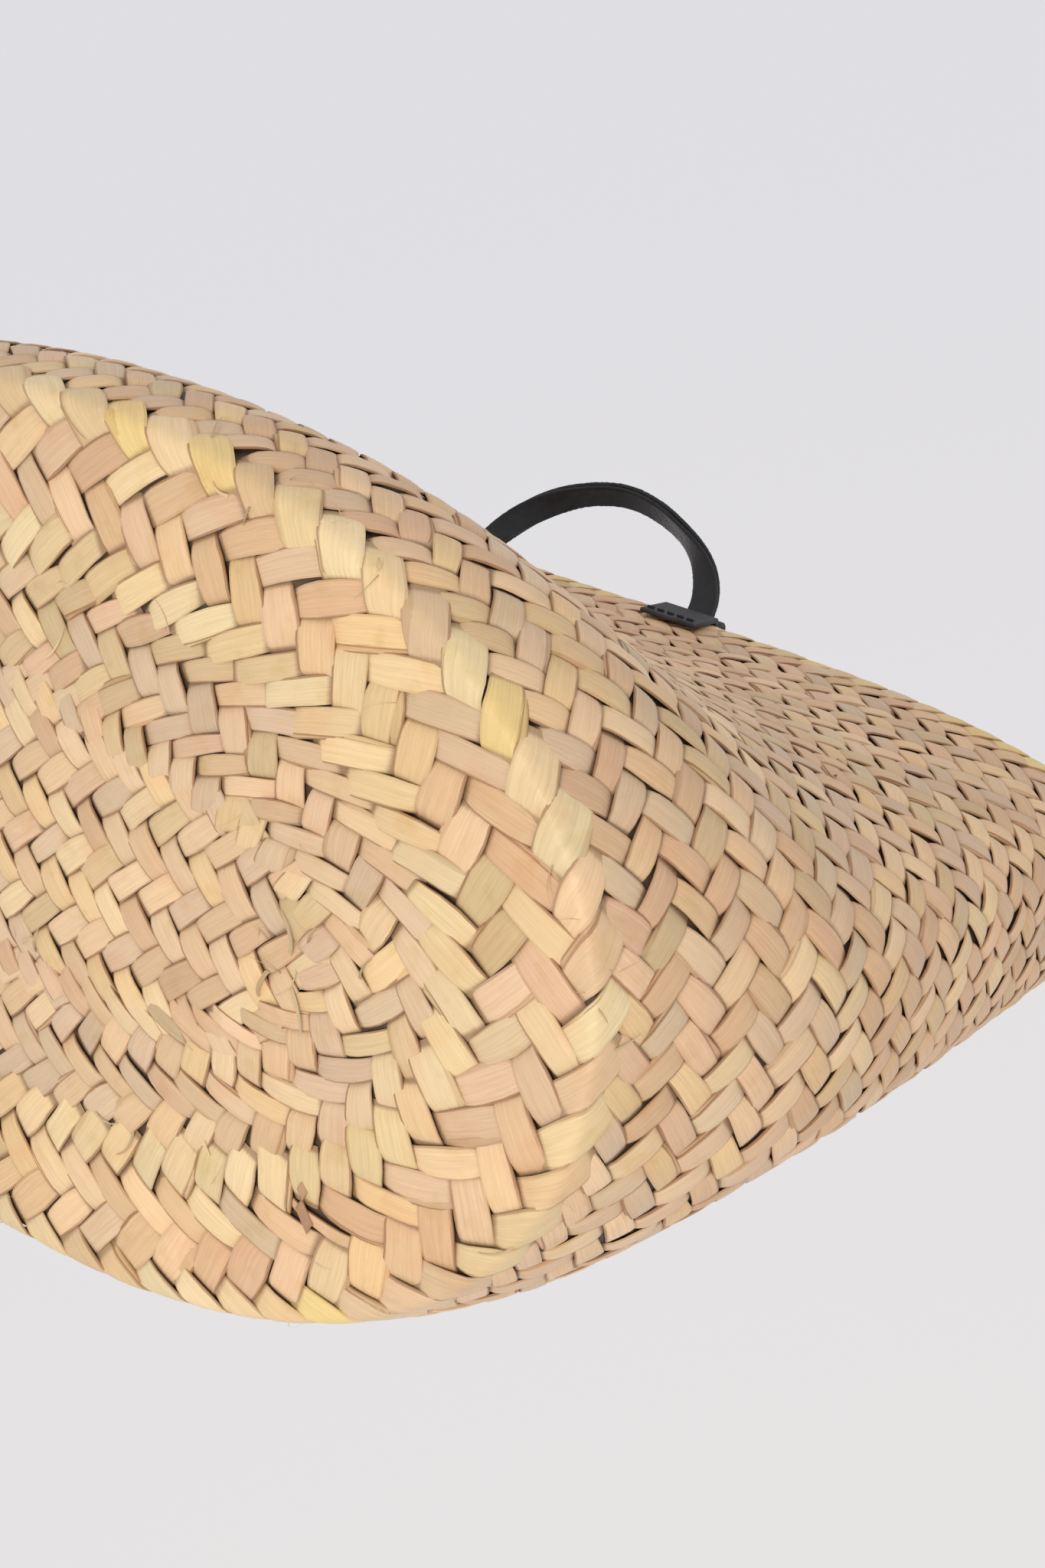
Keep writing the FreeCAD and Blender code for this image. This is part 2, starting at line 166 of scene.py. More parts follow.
def outside_sheet():
    """Outside of the bag: base (negative levels, by inset), rounded crease, wall, over the rim."""
    bend = 1.6
    levels = list(np.arange(-100.0, -bend + 0.01, 1.5))
    loops = [base_loop(-level, 0.0) for level in levels]
    k = np.arange(AROUND) / AROUND
    low, high = base_loop(bend, 0.0), WALL.place(k, np.full(AROUND, bend), np.zeros(AROUND))
    corner = base_loop(0.0, 0.0)
    for u in np.linspace(0.0, 1.0, 9)[1:-1]:
        loops.append(low * (1 - u) ** 2 + corner * 2 * u * (1 - u) + high * u * u)
        levels.append(-bend + 2 * bend * u)
    for level in np.arange(bend, WALL_LENGTH - 2.0, 2.0):
        loops.append(WALL.place(k, np.full(AROUND, level), np.zeros(AROUND)))
        levels.append(level)
    # Over the rim's edge in a half turn and down inside, to a slant distance of 40 mm.
    half = 0.5 * WALL_THICKNESS
    top = np.full(AROUND, WALL_LENGTH)
    middle = WALL.place(k, top, np.full(AROUND, -half))
    out = unit(WALL.place(k, top, np.ones(AROUND)) - WALL.place(k, top, np.zeros(AROUND)))
    rise = np.zeros((AROUND, 3))
    rise[:, 2] = 1.0
    drop = 2.0
    for angle in np.linspace(0.0, math.pi, 9):
        loops.append(middle - rise * drop + out * half * math.cos(angle) + rise * half * math.sin(angle))
        levels.append(WALL_LENGTH - drop + half * angle)
    turned = levels[-1]
    for step in np.arange(2.0, 42.0, 2.0):
        level = np.full(AROUND, WALL_LENGTH - drop - step)
        loops.append(WALL.place(k, level, np.full(AROUND, -WALL_THICKNESS)))
        levels.append(turned + step)
    return loops_to_sheet(levels, np.stack(loops, axis=1))


def inside_sheet():
    """Inside of the bag: base top (negative levels), rounded foot, wall up to the rim."""
    bend = 6.0
    k = np.arange(AROUND) / AROUND
    levels = list(np.arange(-100.0, -bend + 0.01, 1.5))
    loops = [base_loop(-level, BASE_THICKNESS) for level in levels]
    low = base_loop(bend, BASE_THICKNESS)
    high = WALL.place(k, np.full(AROUND, bend + 4.0), np.full(AROUND, -WALL_THICKNESS))
    corner = base_loop(3.4, BASE_THICKNESS)
    for u in np.linspace(0.0, 1.0, 9)[1:-1]:
        loops.append(low * (1 - u) ** 2 + corner * 2 * u * (1 - u) + high * u * u)
        levels.append(-bend + (2 * bend + 4.0) * u)
    for level in np.arange(bend + 4.0, WALL_LENGTH + 0.1, 2.0):
        loops.append(WALL.place(k, np.full(AROUND, level), np.full(AROUND, -WALL_THICKNESS)))
        levels.append(level)
    return loops_to_sheet(levels, np.stack(loops, axis=1), flip=-1.0)


OUTSIDE = outside_sheet()
INSIDE = inside_sheet()

# ---------------------------------------------------------------- woven floats

LEAF_TONES = np.array([
    (0.73, 0.505, 0.29), (0.69, 0.47, 0.265), (0.77, 0.55, 0.33), (0.66, 0.435, 0.25),
    (0.72, 0.485, 0.295), (0.65, 0.475, 0.255), (0.75, 0.53, 0.275), (0.69, 0.49, 0.31),
    (0.65, 0.475, 0.30), (0.78, 0.58, 0.33),
])
YELLOW_TONES = np.array([
    (0.78, 0.57, 0.235), (0.76, 0.54, 0.21), (0.80, 0.61, 0.29), (0.75, 0.54, 0.28),
])
CREAM_TONES = np.array([
    (0.78, 0.58, 0.31), (0.76, 0.56, 0.29), (0.74, 0.53, 0.28), (0.79, 0.61, 0.34),
])
# Dark tone of the sheets under the floats: painted shade in the gaps between them.
PAINTED_SHADE_TONE = np.array([[0.10, 0.062, 0.034, 0.5]])

# Shape of a float: shares of its half length and half width, and the lift in mm at each.
ALONG = np.array([-1.22, -1.0, -0.86, -0.66, -0.3, 0.3, 0.66, 0.86, 1.0, 1.22])
ALONG_DROP = np.array([-1.25, -0.72, -0.22, 0.26, 0.50, 0.50, 0.26, -0.22, -0.72, -1.25])
ACROSS = np.array([-1.0, -0.78, -0.28, 0.28, 0.78, 1.0])
ACROSS_DROP = np.array([-0.20, -0.03, 0.07, 0.07, -0.03, -0.20])
LEAF_THICKNESS = 0.45
WALL_BACKING_DEPTH, BASE_BACKING_DEPTH, RIM_BACKING_DEPTH = 1.35, 1.3, 0.9


def noise(shape, spread):
    return RANDOM.uniform(-spread, spread, shape)


class Weave:
    """Collects floats of one piece: vertices, faces, UVs and leaf colours."""

    def __init__(self):
        self.verts, self.faces, self.uvs, self.colours = [], [], [], []
        self.count = 0

    def add_grid(self, points, uv, colour):
        """points: tiles x rows x columns x 3; uv likewise x 2; colour: tiles x 4."""
        tiles, rows, cols = points.shape[:3]
        index = np.arange(tiles * rows * cols).reshape(tiles, rows, cols) + self.count
        quads = np.stack([index[:, :-1, :-1], index[:, :-1, 1:],
                          index[:, 1:, 1:], index[:, 1:, :-1]], axis=-1)
        self.verts.append(points.reshape(-1, 3))
        self.uvs.append(uv.reshape(-1, 2))
        spread = np.broadcast_to(colour[:, None, None, :], (tiles, rows, cols, 4))
        self.colours.append(spread.reshape(-1, 4))
        self.faces.append(quads.reshape(-1, 4))
        self.count += tiles * rows * cols

    def make(self, name, material):
        """One object of everything collected, with its leaf UVs and colours."""
        verts = np.concatenate(self.verts) * MM
        faces = np.concatenate(self.faces)
        uvs = np.concatenate(self.uvs)
        colours = np.concatenate(self.colours)
        mesh = bpy.data.meshes.new(name)
        mesh.from_pydata(verts, [], faces.tolist())
        corner = np.empty(len(mesh.loops), dtype=np.int32)
        mesh.loops.foreach_get("vertex_index", corner)
        layer = mesh.uv_layers.new(name="leaf_uv")
        layer.data.foreach_set("uv", uvs[corner].astype(np.float32).ravel())
        tone = mesh.color_attributes.new("leaf", "FLOAT_COLOR", "POINT")
        tone.data.foreach_set("color", colours.astype(np.float32).ravel())
        mesh.shade_smooth()
        mesh.materials.append(material)
        piece = bpy.data.objects.new(name, mesh)
        bpy.context.collection.objects.link(piece)
        return piece


def tone_table(count, tones, mood):
    """One leaf colour per strand: a tone of the list, lightened or darkened a little."""
    pick = RANDOM.integers(0, len(tones), count)
    colour = tones[pick] * (1.0 + noise((count, 1), 0.05)) * np.asarray(mood)
    return np.clip(colour, 0.02, 0.95)


def finer(values, drops, count):
    """The same float shape at more stations."""
    at = np.linspace(values[0], values[-1], count)
    at = np.sort(np.concatenate([at, values[1:-1]]))
    return at, np.interp(at, values, drops)


def float_tiles(weave, sheet, count, x0, y0, slope, side, row_level, colour, wide, long, lift, swing=1.0,
                across_shift=0.0, dense=False, ragged=0.05, calm=1.0):
    """One tile per float: a thin ribbon that bends down under its neighbours at both ends.

    The tiles' sides are separate strips with a hard edge, so that the leaf reads as a thin ribbon."""
    n = len(x0)
    along, along_drop, across, across_drop = ALONG, ALONG_DROP, ACROSS, ACROSS_DROP
    if dense:
        along, along_drop = finer(ALONG, ALONG_DROP, 16)
        across, across_drop = finer(ACROSS, ACROSS_DROP, 8)
    wave = noise((n, 1, 1), 1.0)
    bow = noise((n, 1, 1), 0.07)
    pinch = 0.11 + noise((n, 1, 1), 0.09)
    twist = noise((n, 1, 1), 0.055)
    tilt = noise((n, 1, 1), 0.15) * calm
    high = 1.0 + noise((n, 1, 1), 0.3) * calm
    raise_by = noise((n, 1, 1), 0.12) * calm
    skew = noise((n, 1, 1), 0.12)
    t = along[None, :, None] * long[:, None, None]

    def surface(v, drop, depth):
        """Points and UVs of the columns at v."""
        vv = v[None, None, :]
        share = vv * wide[:, None, None] * (1.0 - pinch * along[None, :, None] ** 2)
        edge = ragged * vv * np.sin(along[None, :, None] * 2.3 + 6.0 * wave)
        bowed = bow * (1 - along[None, :, None] ** 2)
        w = 0.25 * (share + edge + across_shift + bowed) + twist * t * 0.5
        u = 0.5 * (t + skew * vv * 0.5)
        gx = x0[:, None, None] + u + w
        gy = y0[:, None, None] + slope * (u - w)
        z = along_drop[None, :, None] * high * swing + drop[None, None, :] + raise_by + lift - depth
        z = z + tilt * vv
        points = sheet.place(gx / count, row_level(gy), z)
        uv = np.empty(points.shape[:3] + (2,))
        uv[..., 0] = along[None, :, None] * 0.5 + 0.5
        uv[..., 1] = vv * 0.5 + 0.5
        return points, uv

    top, uv = surface(across, across_drop, 0.0)
    flip = slope * side < 0
    strips = [(top, uv)]
    for column in (0, -1):
        under, _ = surface(across[[column]], across_drop[[column]], LEAF_THICKNESS)
        pair = [top[:, :, [column]], under]
        if column == 0:
            pair.reverse()
        edge_uv = np.repeat(uv[:, :, [column]], 2, axis=2)
        strips.append((np.concatenate(pair, axis=2), edge_uv))
    for points, where in strips:
        if flip:
            points, where = points[:, :, ::-1], where[:, :, ::-1]
        weave.add_grid(points, where, colour)


def float_rows(weave, sheet, rows, count, row_level, slope_of, side, tones=LEAF_TONES, mood=(1, 1, 1),
               lift=0.0, fill=1.03, length=1.0, swing=1.0, doubled=0.35, dense=False, narrow=()):
    """Rows of slanted floats round a sheet, and the second leaves that show beside some of them.

    rows: whole row numbers; row_level(Y) gives the level of a row number, fractions included;
    count: floats in a row; slope_of(row) is +1 or -1; side is which face the normal looks from;
    narrow: (row, place) of floats of half width, which leave a gap beside them."""
    strands = tone_table(2 * count, tones, mood)
    for row in rows:
        i = np.arange(count)
        lean = slope_of(row)
        x0 = i + (0.25 if lean > 0 else 0.75) + noise(count, 0.05)
        y0 = row + noise(count, 0.035)
        strand = (i - int(row) if lean > 0 else i + int(row)) % count + (count if lean < 0 else 0)
        shade = strands[strand] * (1.0 + noise((count, 1), 0.07)) * (1.0 + noise((count, 3), 0.02))
        colour = np.column_stack([np.clip(shade, 0.02, 0.95), RANDOM.random(count)])
        wide = fill * (1.0 + noise(count, 0.10))
        for line, place in narrow:
            if line == row:
                wide[place] *= 0.5
        long = length * (1.0 + noise(count, 0.05))
        float_tiles(weave, sheet, count, x0, y0, lean, side, row_level, colour, wide, long, lift, swing,
                    dense=dense)
        second = RANDOM.random(count) < doubled
        if not second.any():
            continue
        way = np.where(RANDOM.random(count) < 0.5, -1.0, 1.0)[second][:, None, None]
        # Second leaves lie lower, partly under their float, and are coloured darker: painted shade.
        shaded_second = colour[second] * np.array([0.86, 0.82, 0.76, 1.0])
        float_tiles(weave, sheet, count, x0[second], y0[second], lean, side, row_level, shaded_second,
                    wide[second] * 0.78, long[second], lift - 0.36, swing, across_shift=way * 0.46,
                    dense=dense, calm=0.3)


def shade_backing(weave, sheet, low, high, depth, steps, side):
    """Dark sheet of painted shade under the floats, so that the gaps between them look deep."""
    k = np.arange(129) / 128.0
    levels = np.linspace(low, high, steps + 1)
    gx, gy = np.meshgrid(k, levels, indexing="ij")
    points = sheet.place(gx, gy, np.full(gx.shape, -depth))[None]
    uv = np.full(points.shape[:3] + (2,), 0.5)
    if side > 0:
        points, uv = points[:, ::-1], uv[:, ::-1]
    weave.add_grid(points, uv, PAINTED_SHADE_TONE)


# ---------------------------------------------------------------- materials

def new_material(name):
    material = bpy.data.materials.new(name)
    material.use_nodes = True
    tree = material.node_tree
    shader = tree.nodes["Principled BSDF"]
    return material, tree, shader


def join(tree, a, b):
    tree.links.new(a, b)


def maths(tree, operation, a, b=None, clamp=False):
    made = tree.nodes.new("ShaderNodeMath")
    made.operation = operation
    made.use_clamp = clamp
    for socket, value in zip(made.inputs, (a, b)):
        if value is None:
            continue
        if isinstance(value, (int, float)):
            socket.default_value = value
        else:
            tree.links.new(value, socket)
    return made.outputs[0]


def blend_colour(tree, mode, factor, a, b):
    made = tree.nodes.new("ShaderNodeMix")
    made.data_type = "RGBA"
    made.blend_type = mode
    for socket, value in ((made.inputs[0], factor), (made.inputs[6], a), (made.inputs[7], b)):
        if isinstance(value, (int, float)):
            socket.default_value = value
        elif isinstance(value, tuple):
            socket.default_value = value + (1.0,)
        else:
            tree.links.new(value, socket)
    return made.outputs[2]


def ramp(tree, value, low, high):
    """0 below low, 1 above high, smooth between."""
    made = tree.nodes.new("ShaderNodeMapRange")
    made.interpolation_type = "SMOOTHSTEP"
    made.inputs[1].default_value = low
    made.inputs[2].default_value = high
    tree.links.new(value, made.inputs[0])
    return made.outputs[0]


def noise_node(tree, vector, scale, detail=3.0, roughness=0.55):
    made = tree.nodes.new("ShaderNodeTexNoise")
    made.inputs["Scale"].default_value = scale
    made.inputs["Detail"].default_value = detail
    made.inputs["Roughness"].default_value = roughness
    tree.links.new(vector, made.inputs["Vector"])
    return made.outputs["Fac"]


def leaf_material(name, gloss=0.43, edge=1.0):
    """Dried palm leaf: parallel veins, reddish edges, blotches, painted shade at the tucked ends and a
    satin face; edge scales both the edge lines and that painted shade.
    """
    material, tree, shader = new_material(name)
    tone = tree.nodes.new("ShaderNodeAttribute")
    tone.attribute_name = "leaf"
    uv = tree.nodes.new("ShaderNodeUVMap")
    uv.uv_map = "leaf_uv"
    place = tree.nodes.new("ShaderNodeTexCoord").outputs["Object"]
    split = tree.nodes.new("ShaderNodeSeparateXYZ")
    join(tree, uv.outputs[0], split.inputs[0])
    u, v, seed = split.outputs[0], split.outputs[1], tone.outputs["Alpha"]

    # Veins run along the leaf; each float has its own stretch of them.
    cloud = noise_node(tree, place, 260.0, 2.0)
    sway = maths(tree, "MULTIPLY", maths(tree, "SUBTRACT", cloud, 0.5), 0.05)
    lane = maths(tree, "ADD", v, sway)
    strip = tree.nodes.new("ShaderNodeCombineXYZ")
    join(tree, maths(tree, "MULTIPLY", u, 0.5), strip.inputs[0])
    join(tree, maths(tree, "MULTIPLY", lane, 9.0), strip.inputs[1])
    join(tree, maths(tree, "MULTIPLY", seed, 40.0), strip.inputs[2])
    veins = noise_node(tree, strip.outputs[0], 1.6, 3.0, 0.65)
    fine_strip = tree.nodes.new("ShaderNodeCombineXYZ")
    join(tree, maths(tree, "MULTIPLY", u, 1.2), fine_strip.inputs[0])
    join(tree, maths(tree, "MULTIPLY", lane, 34.0), fine_strip.inputs[1])
    join(tree, maths(tree, "MULTIPLY", seed, 77.0), fine_strip.inputs[2])
    fibres = noise_node(tree, fine_strip.outputs[0], 1.4, 2.0, 0.6)

    light = maths(tree, "ADD", 0.80, maths(tree, "MULTIPLY", veins, 0.40))
    fine_light = maths(tree, "ADD", 0.88, maths(tree, "MULTIPLY", fibres, 0.24))
    light = maths(tree, "MULTIPLY", light, fine_light)
    scale = tree.nodes.new("ShaderNodeVectorMath")
    scale.operation = "SCALE"
    join(tree, tone.outputs["Color"], scale.inputs[0])
    join(tree, light, scale.inputs["Scale"])
    colour = scale.outputs[0]

    # Broad blotches, olive in some places and pinkish in others.
    blotch = noise_node(tree, place, 95.0, 3.0)
    olive = maths(tree, "MULTIPLY", ramp(tree, blotch, 0.54, 0.74), 0.55)
    colour = blend_colour(tree, "MULTIPLY", olive, colour, (0.86, 0.84, 0.66))
    blush = noise_node(tree, place, 60.0, 2.0)
    pink = maths(tree, "MULTIPLY", ramp(tree, blush, 0.5, 0.72), 0.6)
    colour = blend_colour(tree, "MULTIPLY", pink, colour, (0.98, 0.87, 0.82))
    speck = noise_node(tree, place, 900.0, 4.0, 0.7)
    specks = maths(tree, "MULTIPLY", ramp(tree, speck, 0.67, 0.75), 0.5)
    colour = blend_colour(tree, "MIX", specks, colour, (0.30, 0.19, 0.09))

    # Reddish-brown line along the leaf's edges, stronger on one side, broken up.
    wander = noise_node(tree, strip.outputs[0], 3.0, 2.0)
    low_side = maths(tree, "SUBTRACT", 0.09, v)
    high_side = maths(tree, "SUBTRACT", v, 0.91)
    ragged = maths(tree, "MULTIPLY", maths(tree, "SUBTRACT", wander, 0.5), 0.16)
    low_line = ramp(tree, maths(tree, "ADD", low_side, ragged), 0.0, 0.06)
    high_line = ramp(tree, maths(tree, "ADD", high_side, ragged), 0.0, 0.06)
    favour = ramp(tree, seed, 0.35, 0.65)
    other = maths(tree, "SUBTRACT", 1.0, favour)
    low_weight = maths(tree, "ADD", 0.25, maths(tree, "MULTIPLY", favour, 0.7))
    high_weight = maths(tree, "ADD", 0.25, maths(tree, "MULTIPLY", other, 0.7))
    low_line = maths(tree, "MULTIPLY", low_line, low_weight)
    high_line = maths(tree, "MULTIPLY", high_line, high_weight)
    lines = maths(tree, "MAXIMUM", low_line, high_line)
    red_brown = maths(tree, "MULTIPLY", lines, 0.85 * edge)
    colour = blend_colour(tree, "MIX", red_brown, colour, (0.30, 0.135, 0.055))

    # The tucked ends are darkened towards brown: painted shade where they bend down under their
    # neighbours.
    reach = maths(tree, "ABSOLUTE", maths(tree, "SUBTRACT", u, 0.5))
    tucked = ramp(tree, maths(tree, "ADD", reach, maths(tree, "MULTIPLY", wander, 0.05)), 0.47, 0.56)
    tucked_shade = maths(tree, "MULTIPLY", tucked, 0.7 * edge)
    colour = blend_colour(tree, "MIX", tucked_shade, colour, (0.24, 0.125, 0.055))
    join(tree, colour, shader.inputs["Base Color"])

    rough = maths(tree, "ADD", gloss - 0.10, maths(tree, "MULTIPLY", fibres, 0.30))
    rough = maths(tree, "ADD", rough, maths(tree, "MULTIPLY", lines, 0.2), clamp=True)
    join(tree, rough, shader.inputs["Roughness"])
    shader.inputs["Specular IOR Level"].default_value = 0.45
    shader.inputs["Sheen Weight"].default_value = 0.08
    shader.inputs["Sheen Roughness"].default_value = 0.4

    height = maths(tree, "ADD", maths(tree, "MULTIPLY", veins, 0.9),
                   maths(tree, "MULTIPLY", fibres, 0.45))
    height = maths(tree, "ADD", height, maths(tree, "MULTIPLY", cloud, 0.7))
    bump = tree.nodes.new("ShaderNodeBump")
    bump.inputs["Strength"].default_value = 0.55
    bump.inputs["Distance"].default_value = 0.00035
    join(tree, height, bump.inputs["Height"])
    join(tree, bump.outputs[0], shader.inputs["Normal"])
    return material


def leather_material(name, colour, rough):
    """Matte black leather with fine pebbled grain, creases and slightly rubbed, lighter patches."""
    material, tree, shader = new_material(name)
    place = tree.nodes.new("ShaderNodeTexCoord").outputs["Object"]
    pebble = tree.nodes.new("ShaderNodeTexVoronoi")
    pebble.feature = "SMOOTH_F1"
    pebble.inputs["Scale"].default_value = 1500.0
    join(tree, place, pebble.inputs["Vector"])
    grain = noise_node(tree, place, 2600.0, 3.0)
    crease = noise_node(tree, place, 240.0, 4.0, 0.6)
    worn = noise_node(tree, place, 70.0, 3.0)
    shade = blend_colour(tree, "MIX", ramp(tree, crease, 0.35, 0.75), colour,
                         tuple(min(1.0, c * 1.7 + 0.003) for c in colour))
    shade = blend_colour(tree, "MIX", maths(tree, "MULTIPLY", ramp(tree, worn, 0.5, 0.8), 0.35), shade,
                         tuple(c * 2.6 for c in colour))
    join(tree, shade, shader.inputs["Base Color"])
    roughness = maths(tree, "ADD", rough - 0.08, maths(tree, "MULTIPLY", crease, 0.22))
    join(tree, maths(tree, "ADD", roughness, maths(tree, "MULTIPLY", grain, 0.08), clamp=True),
         shader.inputs["Roughness"])
    height = maths(tree, "ADD", maths(tree, "MULTIPLY", pebble.outputs["Distance"], -0.9),
                   maths(tree, "MULTIPLY", grain, 0.35))
    height = maths(tree, "ADD", height, maths(tree, "MULTIPLY", crease, 1.1))
    bump = tree.nodes.new("ShaderNodeBump")
    bump.inputs["Strength"].default_value = 0.5
    bump.inputs["Distance"].default_value = 0.00025
    join(tree, height, bump.inputs["Height"])
    join(tree, bump.outputs[0], shader.inputs["Normal"])
    shader.inputs["Specular IOR Level"].default_value = 0.35
    return material


def thread_material(name, colour, twist_scale):
    """Twisted twine or thread: slanting plies with painted shade in the grooves between them, fuzz and
    uneven colour.
    """
    material, tree, shader = new_material(name)
    place = tree.nodes.new("ShaderNodeTexCoord").outputs["Object"]
    plies = tree.nodes.new("ShaderNodeTexWave")
    plies.wave_type = "BANDS"
    plies.bands_direction = "DIAGONAL"
    plies.inputs["Scale"].default_value = twist_scale
    plies.inputs["Distortion"].default_value = 2.0
    plies.inputs["Detail"].default_value = 2.0
    join(tree, place, plies.inputs["Vector"])
    fuzz = noise_node(tree, place, 3000.0, 3.0)
    patch = noise_node(tree, place, 120.0, 3.0)
    # Dark bands between the plies: painted shade in the grooves.
    groove_shade = tuple(c * 0.45 for c in colour)
    shade = blend_colour(tree, "MIX", plies.outputs["Fac"], groove_shade, colour)
    shade = blend_colour(tree, "MULTIPLY", maths(tree, "MULTIPLY", patch, 0.6), shade, (0.7, 0.62, 0.5))
    join(tree, shade, shader.inputs["Base Color"])
    join(tree, maths(tree, "ADD", 0.6, maths(tree, "MULTIPLY", fuzz, 0.35)), shader.inputs["Roughness"])
    bump = tree.nodes.new("ShaderNodeBump")
    bump.inputs["Strength"].default_value = 0.7
    bump.inputs["Distance"].default_value = 0.0003
    join(tree, maths(tree, "ADD", plies.outputs["Fac"], maths(tree, "MULTIPLY", fuzz, 0.5)),
         bump.inputs["Height"])
    join(tree, bump.outputs[0], shader.inputs["Normal"])
    return material


LEAF = leaf_material("palm_leaf_woven")
FOLD = leaf_material("palm_leaf_folded", gloss=0.38, edge=0.85)
LEATHER = leather_material("black_leather", (0.011, 0.011, 0.012), 0.52)
TAB_LEATHER = leather_material("tab_leather", (0.028, 0.028, 0.031), 0.48)
TWINE = thread_material("palm_twine", (0.52, 0.40, 0.24), 260.0)
CORD = thread_material("waxed_cord", (0.05, 0.045, 0.042), 500.0)
THREAD = thread_material("black_thread", (0.045, 0.045, 0.05), 900.0)

# ---------------------------------------------------------------- the woven basket

ROW = 10.35
WALL_FLOATS = 94
FIRST_ROW = 0.7
BASE_ROW = 13.4
BASE_FLOATS = 66
MIDDLE_FLOATS = 56
OUTER_INSET, MIDDLE_INSET = 48.15, 82.15
GAP = (-2, 6)  # row and place of the float beside the gap in the outer base braid


def slope(row):
    """Floats of even rows lean one way and those of odd rows the other."""
    return -1 if int(round(row)) % 2 == 0 else 1


def wall_level(row):
    return FIRST_ROW + ROW * row


def base_level(row):
    return FIRST_ROW + BASE_ROW * row


def finish_piece(piece, slot, *nodes):
    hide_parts(*nodes)
    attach(piece, "basket")


def wall_pieces():
    """One woven piece per braid turn, its outside and inside floats over dark sheets of painted shade.
    """
    for turn in range(WALL_TURNS):
        low = HEEL_FOLD_WIDTH + turn * TURN_LENGTH
        high = low + TURN_LENGTH
        rows = [r for r in range(1, 26) if low <= wall_level(r) < high]
        mood = (1.0, 0.985 - 0.01 * turn, 0.97 - 0.02 * turn)
        weave = Weave()
        float_rows(weave, OUTSIDE, rows, WALL_FLOATS, wall_level, slope, 1, mood=mood)
        float_rows(weave, INSIDE, rows, WALL_FLOATS, wall_level, lambda r: -slope(r), -1, mood=mood)
        shade_backing(weave, OUTSIDE, low, high, WALL_BACKING_DEPTH, 12, -1)
        shade_backing(weave, INSIDE, max(low, 10.0), high, WALL_BACKING_DEPTH, 12, 1)
        piece = weave.make("woven_wall_%d" % (turn + 1), LEAF)
        finish_piece(piece, "palm_leaf", "wall_braid_%d" % (turn + 1))


def heel_piece():
    """Wide folded strands along the crease between base and wall."""
    weave = Weave()
    tones = np.concatenate([CREAM_TONES, LEAF_TONES[[0, 6]], YELLOW_TONES[[0]]])
    float_rows(weave, OUTSIDE, [0], BASE_FLOATS, base_level, slope, 1, tones=tones, lift=0.6, fill=1.08,
               dense=True)
    shade_backing(weave, OUTSIDE, -6.0, 6.2, BASE_BACKING_DEPTH, 8, -1)
    float_rows(weave, INSIDE, [0], WALL_FLOATS, wall_level, lambda r: -slope(r), -1)
    shade_backing(weave, INSIDE, -8.0, 10.2, BASE_BACKING_DEPTH, 10, 1)
    finish_piece(weave.make("folded_heel", FOLD), "palm_fold", "heel_fold")


def base_pieces():
    outer = Weave()
    float_rows(outer, OUTSIDE, [-1, -2], BASE_FLOATS, base_level, slope, 1, mood=(1.03, 1.0, 0.95),
               narrow=[GAP])
    float_rows(outer, OUTSIDE, [-3], BASE_FLOATS, base_level, slope, 1, tones=CREAM_TONES, lift=0.4)
    rows = [-1, -2, -3]
    float_rows(outer, INSIDE, rows, BASE_FLOATS, base_level, lambda r: -slope(r), -1)
    shade_backing(outer, OUTSIDE, -OUTER_INSET, -6.0, BASE_BACKING_DEPTH, 8, -1)
    shade_backing(outer, INSIDE, -OUTER_INSET, -6.0, BASE_BACKING_DEPTH, 8, 1)
    finish_piece(outer.make("woven_base_outer", LEAF), "palm_leaf", "base_braid_outer")

    middle = Weave()
    first = OUTER_INSET + 2.0

    def middle_level(row):
        return -(first + ROW * row)

    for sheet, side in ((OUTSIDE, 1), (INSIDE, -1)):
        for rows, lift in (([0, 1, 2], -0.1), ([3], 0.25)):
            float_rows(middle, sheet, rows, MIDDLE_FLOATS, middle_level,
                       lambda r: slope(r) * side, -side, lift=lift)
        shade_backing(middle, sheet, -(MIDDLE_INSET + 2.0), -OUTER_INSET, BASE_BACKING_DEPTH, 8, -side)
    finish_piece(middle.make("woven_base_middle", LEAF), "palm_leaf", "base_braid_middle")

    # The first strip of the spiral is straight: rows along X, cut off by the oval around it.
    centre = Weave()
    half_x = BASE_HALF_LENGTH - MIDDLE_INSET + 4.0
    half_y = BASE_HALF_WIDTH - MIDDLE_INSET + 4.0
    for z, side in ((0.0, -1.0), (BASE_THICKNESS, 1.0)):
        straight_floats(centre, half_x, half_y, z, side)
    finish_piece(centre.make("woven_base_centre", LEAF), "palm_leaf", "base_braid_centre")


class FlatSheet:
    """A level face in X and Y, for straight rows; side is the way its normal looks."""

    def __init__(self, height, side):
        self.height, self.side = height, side

    def place(self, across, along, lift):
        across, along, lift = np.broadcast_arrays(across, along, lift)
        return np.stack([across, along, self.height + self.side * lift], axis=-1)


